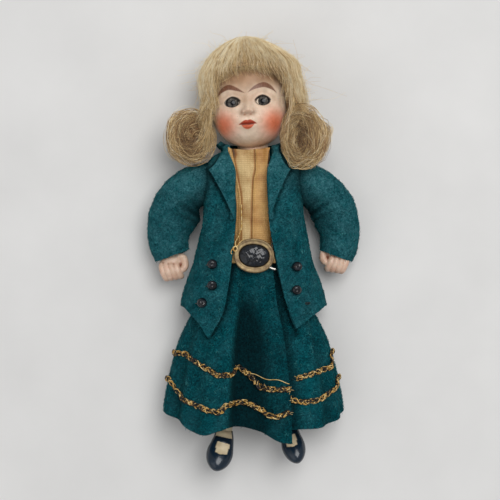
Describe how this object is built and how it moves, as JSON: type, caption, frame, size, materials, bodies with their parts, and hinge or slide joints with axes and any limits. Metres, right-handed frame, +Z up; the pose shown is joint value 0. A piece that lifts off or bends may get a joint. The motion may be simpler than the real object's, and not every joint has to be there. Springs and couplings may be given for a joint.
{
  "type": "bisque doll",
  "caption": "Small bisque doll lying on its back, with a swivel head, wire-strung limbs, glass eyes, a mohair wig with rolled curls, and a felt coat and skirt trimmed with braid.",
  "frame": {"origin": "middle of the doll seen from above, at the height of the table that it lies on", "axes": "+X to the doll's left, +Y from toes to crown, +Z up out of the face"},
  "size_m": [0.057, 0.1148, 0.0262],
  "materials": {
    "bisque": "matt, unglazed, lightly tinted",
    "glazed_bisque": "pale bisque with glossy blue-black shoes",
    "wire": "dull drawn wire",
    "dowel": "bare turned wood",
    "eye_glass": "blown glass, dark grey-blue iris",
    "plaster": "poured plaster",
    "card": "pressed card",
    "gauze": "open cotton gauze",
    "mohair": "combed mohair, golden ash",
    "silk_ribbon": "ribbed gold silk ribbon",
    "gilt": "worn gilt, dark in the hollows",
    "black_glass": "polished black",
    "felt": "teal wool felt, greyed where worn",
    "braid": "twisted gold and black thread"
  },
  "bodies": {
    "torso": {"torso": "bisque", "shoulder_wire": "wire", "hip_wire": "wire", "blouse": "silk_ribbon", "belt": "silk_ribbon", "buckle_frame": "gilt", "buckle_stone": "black_glass", "jacket": "felt", "right_lapel": "felt", "left_lapel": "felt", "bead_buttons": "black_glass", "skirt": "felt", "upper_braid": "braid", "lower_braid": "braid"},
    "neck_link": {"neck_toggle": "dowel", "neck_hook": "wire"},
    "head": {"head": "bisque", "right_eye": "eye_glass", "left_eye": "eye_glass", "eye_plaster": "plaster", "pate": "card", "wig_cap": "gauze", "wig_crown": "mohair", "wig_sides": "mohair", "right_curl": "mohair", "left_curl": "mohair"},
    "right_arm": {"right_arm": "bisque", "right_sleeve": "felt"},
    "left_arm": {"left_arm": "bisque", "left_sleeve": "felt"},
    "right_leg": {"right_leg": "glazed_bisque"},
    "left_leg": {"left_leg": "glazed_bisque"}
  },
  "joints": [
    {"name": "head_turn", "type": "hinge", "parent": "torso", "child": "neck_link", "pos_m": [0, 0.02571, 0.0093], "axis": [0, 1, 0], "range_deg": [-35, 35], "deforming": ["right_curl", "left_curl"]},
    {"name": "head_nod", "type": "hinge", "parent": "neck_link", "child": "head", "pos_m": [0, 0.02571, 0.0093], "axis": [1, 0, 0], "range_deg": [-5, 6], "deforming": ["right_curl", "left_curl"]},
    {"name": "right_shoulder", "type": "hinge", "parent": "torso", "child": "right_arm", "pos_m": [0, 0.01841, 0.0093], "axis": [-1, 0, 0], "range_deg": [-15, 90]},
    {"name": "left_shoulder", "type": "hinge", "parent": "torso", "child": "left_arm", "pos_m": [0, 0.01841, 0.0093], "axis": [-1, 0, 0], "range_deg": [-15, 90]},
    {"name": "right_hip", "type": "hinge", "parent": "torso", "child": "right_leg", "pos_m": [0, -0.00929, 0.0093], "axis": [-1, 0, 0], "range_deg": [-1.5, 10]},
    {"name": "left_hip", "type": "hinge", "parent": "torso", "child": "left_leg", "pos_m": [0, -0.00929, 0.0093], "axis": [-1, 0, 0], "range_deg": [-1.5, 10]}
  ]
}
